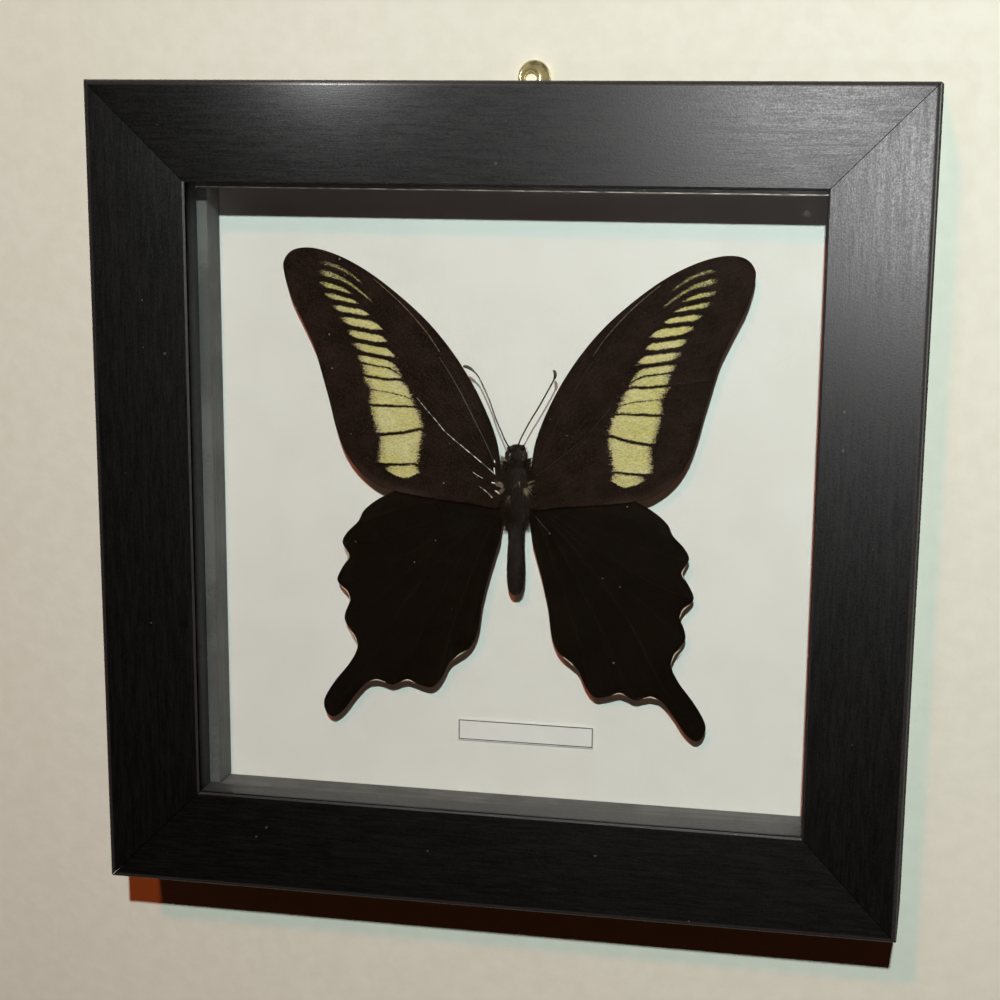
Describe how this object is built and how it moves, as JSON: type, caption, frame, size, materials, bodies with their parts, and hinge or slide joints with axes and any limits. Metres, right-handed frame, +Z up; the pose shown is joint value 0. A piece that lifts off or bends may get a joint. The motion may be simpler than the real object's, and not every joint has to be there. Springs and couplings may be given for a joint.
{
  "type": "framed butterfly specimen",
  "caption": "Set swallowtail butterfly with pale-banded forewings and tailed hindwings on white card, behind glass in a square black shadow-box frame with a brass hanging eye.",
  "frame": {"origin": "middle of the underside of the whole object, hanging eye included", "axes": "+Z up, +X to the right as seen from the front, the glass faces -Y and the wall is on the +Y side"},
  "size_m": [0.18, 0.0284, 0.1847],
  "materials": {
    "frame_paint": "black paint over wood, satin, with fine lengthwise brush streaks",
    "glass": "clear float glass",
    "spacer_card": "dark grey, matte",
    "white_card": "white, matte",
    "label_paper": "white paper with a thin black printed border, left blank",
    "hardboard": "brown pressed hardboard",
    "tab_steel": "thin bright steel",
    "eye_brass": "bright brass, slightly tarnished",
    "wing_scales": "brown-black wing scales with a pale yellow forewing band",
    "body_hair": "dark hair over chitin",
    "cork": "natural cork"
  },
  "bodies": {
    "root": {"rail_top": "frame_paint", "rail_bottom": "frame_paint", "rail_left": "frame_paint", "rail_right": "frame_paint", "glass_pane": "glass", "spacer_top": "spacer_card", "spacer_bottom": "spacer_card", "spacer_left": "spacer_card", "spacer_right": "spacer_card", "backing_card": "white_card", "back_board": "hardboard", "tab_top": "tab_steel", "tab_bottom": "tab_steel", "tab_left": "tab_steel", "tab_right": "tab_steel", "hanging_eye": "eye_brass", "eye_screw_left": "eye_brass", "eye_screw_right": "eye_brass", "butterfly_body": "body_hair", "forewing_left": "wing_scales", "forewing_right": "wing_scales", "hindwing_left": "wing_scales", "hindwing_right": "wing_scales", "antenna_left": "body_hair", "antenna_right": "body_hair", "mounting_pad": "cork", "specimen_label": "label_paper"}
  },
  "joints": []
}
